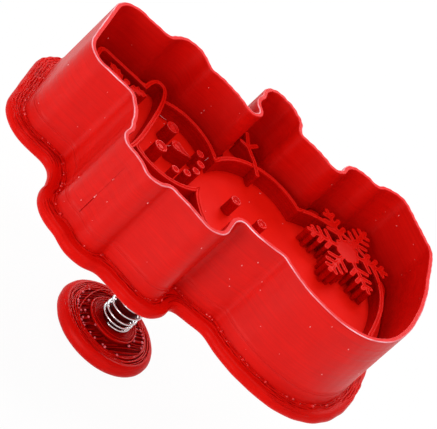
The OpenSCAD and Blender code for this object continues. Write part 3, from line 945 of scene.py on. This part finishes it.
def knob_fill_lines():
    """Straight fill lines across the hollow ring, darkened as painted shade, and drops at their ends, painted
    pale pink as glints.
    """
    bars, glint_dots = [], []
    along = np.array([math.cos(BAR_TURN), math.sin(BAR_TURN)])
    across = np.array([-math.sin(BAR_TURN), math.cos(BAR_TURN)])
    for offset in np.arange(-BAR_REACH, BAR_REACH + 0.1, BAR_PITCH):
        offset += rng.normal(0, 0.14)
        outer = math.sqrt(max(BARS_OUT ** 2 - offset ** 2, 0.0))
        inner = math.sqrt(max(BARS_IN ** 2 - offset ** 2, 0.0))
        runs = [(-outer, -inner), (outer, inner)] if inner > 0.5 else [(-outer, outer)]
        for first, last in runs:
            first += rng.normal(0, 0.25)
            last += rng.normal(0, 0.6)
            share = np.linspace(first, last, max(5, int(abs(last - first) / 0.3)))
            bow = rng.normal(0, 0.20) * np.sin(np.linspace(0, math.pi, len(share)))
            flat = (along[None] * share[:, None] + across[None] * (offset + bow)[:, None]) * MM
            z = knob_slope(np.linalg.norm(flat, axis=1)) - 0.30 * MM + rng.normal(0, 0.12) * MM
            size = np.full(len(share), rng.uniform(0.15, 0.27)) * MM
            size[0] = size[-1] = 0.14 * MM
            bars.append(tube(np.column_stack([flat, z]), size))
            for end, chance in ((1, 0.8), (-2, 0.35)):
                if rng.random() < chance:
                    big = rng.uniform(0.22, 0.40) * MM
                    glint_dots.append(ball((*flat[end], z[end] + 0.16 * MM), (big, big, 0.8 * big)))
    return bars, glint_dots


def knob_thread():
    """One loose thread that lies across the knob's top in a curve."""
    knots = np.radians(np.array(THREAD_TURN))
    a = np.linspace(knots[0], knots[-1], 60)
    r = np.interp(a, knots, THREAD_R) * MM
    for _ in range(6):
        r[1:-1] = 0.25 * r[:-2] + 0.5 * r[1:-1] + 0.25 * r[2:]
    path = np.column_stack([r * np.cos(a), r * np.sin(a), knob_slope(r) + 0.10 * MM])
    return tube(path, 0.15 * MM, sides=8)


def build_knob_strands():
    """The loose strands on the knob's top: edge lines, fill lines darkened as painted shade, drops painted
    pale pink as glints, and a stray thread.
    """
    lines = knob_edge_lines()
    bars, glint_dots = knob_fill_lines()
    gather("knob_strands", lines + [knob_thread()], "plunger", knob_line)
    gather("knob_bars", bars, "plunger", shaded_red)
    gather("knob_glint_dots", glint_dots, "plunger", glint_pink)


# The spring's sizes in mm, its turns, and the travel that squeezes it. They repeat part.scad's.
SPRING_L, SPRING_D, WIRE = 30.0, 8.2, 0.6
TURNS, END_TURNS, RAMP_TURNS = 15, 1.0, 2.0
END_PITCH = 1.05
COIL_START = 165
TURN_STEPS = 36


def coil_angle(t):
    """Angle of the spring's wire round the rod after t turns."""
    return np.radians(COIL_START + 360 * t)


def coil_path(t):
    """Middle of the spring's wire after t turns."""
    open_turns = TURNS - 2 * END_TURNS - RAMP_TURNS
    open_pitch = END_PITCH + (SPRING_L - WIRE - TURNS * END_PITCH) / open_turns

    def ramped(start):
        u = np.clip(t - start, 0, None)
        return np.where(u < RAMP_TURNS, u * u / (2 * RAMP_TURNS), u - RAMP_TURNS / 2)

    opened = ramped(END_TURNS) - ramped(TURNS - END_TURNS - RAMP_TURNS)
    z = END_PITCH * t + (open_pitch - END_PITCH) * opened
    a = coil_angle(t)
    r = (SPRING_D - WIRE) / 2
    return np.column_stack([r * np.cos(a), r * np.sin(a), z]) * MM


def build_spring():
    """The return spring: one coiled wire, whose turns lie closer at both ends."""
    low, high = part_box("return_spring")
    t = np.linspace(0, TURNS, TURNS * TURN_STEPS + 1)
    wire_r = WIRE / 2 * MM
    path = coil_path(t) + np.array([0, 0, low.z + wire_r])
    a = coil_angle(t)
    across = np.column_stack([np.cos(a), np.sin(a), np.zeros_like(a)])
    up = np.cross(unit(np.gradient(path, axis=0)), across)
    up *= np.sign(up[:, 2:3])
    verts, faces = sweep(path, across, up, np.full(len(path), wire_r), sides=12)
    spring = add_mesh("coil_spring", verts, faces, "cutter", steel, slot="spring_steel")
    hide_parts("return_spring")
    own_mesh(spring)


wall_line, seam_at = build_wall()
flange_line = build_back(wall_line)
build_flange_strands(wall_line, flange_line)
build_seam(wall_line, seam_at)
build_specks(wall_line)
build_stamp_bits()
for name in RELIEF:
    build_relief(name)
build_knob()
build_knob_strands()
build_spring()


# Camera, floor and light

# The photograph's width in pixels, and its scale at the target.
PHOTO_WIDTH = 437
PIXELS_PER_MM = 4.41
CAMERA_MM = 860
CAMERA_TARGET = Vector((17.2, -1.2, 34.4)) * MM
CAMERA_HEADING = Vector((0.989, -0.148, 0)).normalized()
CAMERA_TILT = math.radians(31)
CAMERA_ROLL = math.radians(-47.18)
SENSOR_MM = 36
FLOOR_HALF = 3.0
FLOOR_Z = -0.2 * MM
# Share of plain white in the floor as it is seen; the rest keeps the shadow.
FLOOR_WHITE = 0.96
WORLD_LIGHT = 0.43
WHITE = (1, 1, 1, 1)

# Name, place and size in metres, and power in watts. All lamps point at LAMP_AIM.
LAMPS = (("front_light", (-1.06, 0.58, 0.18), 0.70, 7.2), ("back_light", (0.92, 0.00, 0.81), 0.80, 8.0),
         ("top_light", (0.10, 0.00, 1.24), 0.60, 4.2), ("side_light", (-0.65, -0.65, 0.81), 0.80, 1.3))
LAMP_AIM = (0, 0, 0.04)


def make_camera():
    """The camera at the photograph's angle: it looks down across the cutter and is rolled."""
    level = CAMERA_HEADING
    side = Vector((level.y, -level.x, 0))
    forward = level * math.cos(CAMERA_TILT) + Vector((0, 0, -math.sin(CAMERA_TILT)))
    up = level * math.sin(CAMERA_TILT) + Vector((0, 0, math.cos(CAMERA_TILT)))
    x = side * math.cos(CAMERA_ROLL) - up * math.sin(CAMERA_ROLL)
    y = side * math.sin(CAMERA_ROLL) + up * math.cos(CAMERA_ROLL)
    data = bpy.data.cameras.new("camera")
    data.sensor_width = SENSOR_MM
    data.lens = PIXELS_PER_MM * CAMERA_MM / PHOTO_WIDTH * SENSOR_MM
    data.clip_start, data.clip_end = 0.05, 20
    camera = bpy.data.objects.new("camera", data)
    bpy.context.scene.collection.objects.link(camera)
    turn = Matrix((x, y, -forward)).transposed().to_4x4()
    camera.matrix_world = Matrix.Translation(CAMERA_TARGET - forward * (CAMERA_MM * MM)) @ turn
    bpy.context.scene.camera = camera


def area_light(name, place, size, power):
    """A soft round lamp that points at the object."""
    data = bpy.data.lights.new(name, "AREA")
    data.shape = "DISK"
    data.size = size
    data.energy = power
    light = bpy.data.objects.new(name, data)
    bpy.context.scene.collection.objects.link(light)
    light.location = place
    light.rotation_mode = "QUATERNION"
    light.rotation_quaternion = (Vector(LAMP_AIM) - Vector(place)).to_track_quat("-Z", "Y")


def seen_directly(tree):
    """1 for rays from the camera, from gloss and through glass, else 0."""
    path = node(tree, "ShaderNodeLightPath")
    seen = node(tree, "ShaderNodeMath", {
        0: path.outputs["Is Camera Ray"], 1: path.outputs["Is Glossy Ray"]}, operation="MAXIMUM")
    seen = node(tree, "ShaderNodeMath", {
        0: seen.outputs[0], 1: path.outputs["Is Transmission Ray"]}, operation="MAXIMUM")
    return seen.outputs[0]


def make_floor():
    """A white floor just under the knob, which keeps a faint shadow and is clear from below."""
    h = FLOOR_HALF
    mesh = bpy.data.meshes.new("floor")
    corners = [(x, y, FLOOR_Z) for x, y in ((-h, -h), (h, -h), (h, h), (-h, h))]
    mesh.from_pydata(corners, [], [(0, 1, 2, 3)])
    floor = bpy.data.objects.new("floor", mesh)
    bpy.context.scene.collection.objects.link(floor)
    material, tree, shader = new_material("floor_white")
    shader.inputs["Base Color"].default_value = (0.92, 0.92, 0.92, 1)
    shader.inputs["Roughness"].default_value = 0.9
    shader.inputs["Specular IOR Level"].default_value = 0.0
    white = node(tree, "ShaderNodeEmission", {"Color": WHITE, "Strength": 1.0})
    share = node(tree, "ShaderNodeMath", {0: seen_directly(tree), 1: FLOOR_WHITE}, operation="MULTIPLY")
    mix = node(tree, "ShaderNodeMixShader", {
        0: share.outputs[0], 1: shader.outputs["BSDF"], 2: white.outputs["Emission"]})
    under = node(tree, "ShaderNodeNewGeometry").outputs["Backfacing"]
    clear = node(tree, "ShaderNodeBsdfTransparent")
    both = node(tree, "ShaderNodeMixShader", {0: under, 1: mix.outputs["Shader"], 2: clear.outputs["BSDF"]})
    tree.links.new(both.outputs["Shader"], tree.nodes["Material Output"].inputs["Surface"])
    mesh.materials.append(material)


def make_light():
    """Soft light from all round, which the camera and gloss see as white, and the lamps."""
    world = bpy.data.worlds.new("studio")
    bpy.context.scene.world = world
    world.use_nodes = True
    tree = world.node_tree
    tree.nodes.clear()
    out = node(tree, "ShaderNodeOutputWorld")
    soft = node(tree, "ShaderNodeBackground", {"Color": WHITE, "Strength": WORLD_LIGHT})
    white = node(tree, "ShaderNodeBackground", {"Color": WHITE, "Strength": 1.0})
    mix = node(tree, "ShaderNodeMixShader", {
        0: seen_directly(tree), 1: soft.outputs[0], 2: white.outputs[0]})
    tree.links.new(mix.outputs[0], out.inputs["Surface"])
    for lamp in LAMPS:
        area_light(*lamp)


make_camera()
bpy.context.scene.view_settings.view_transform = "Standard"
make_floor()
make_light()
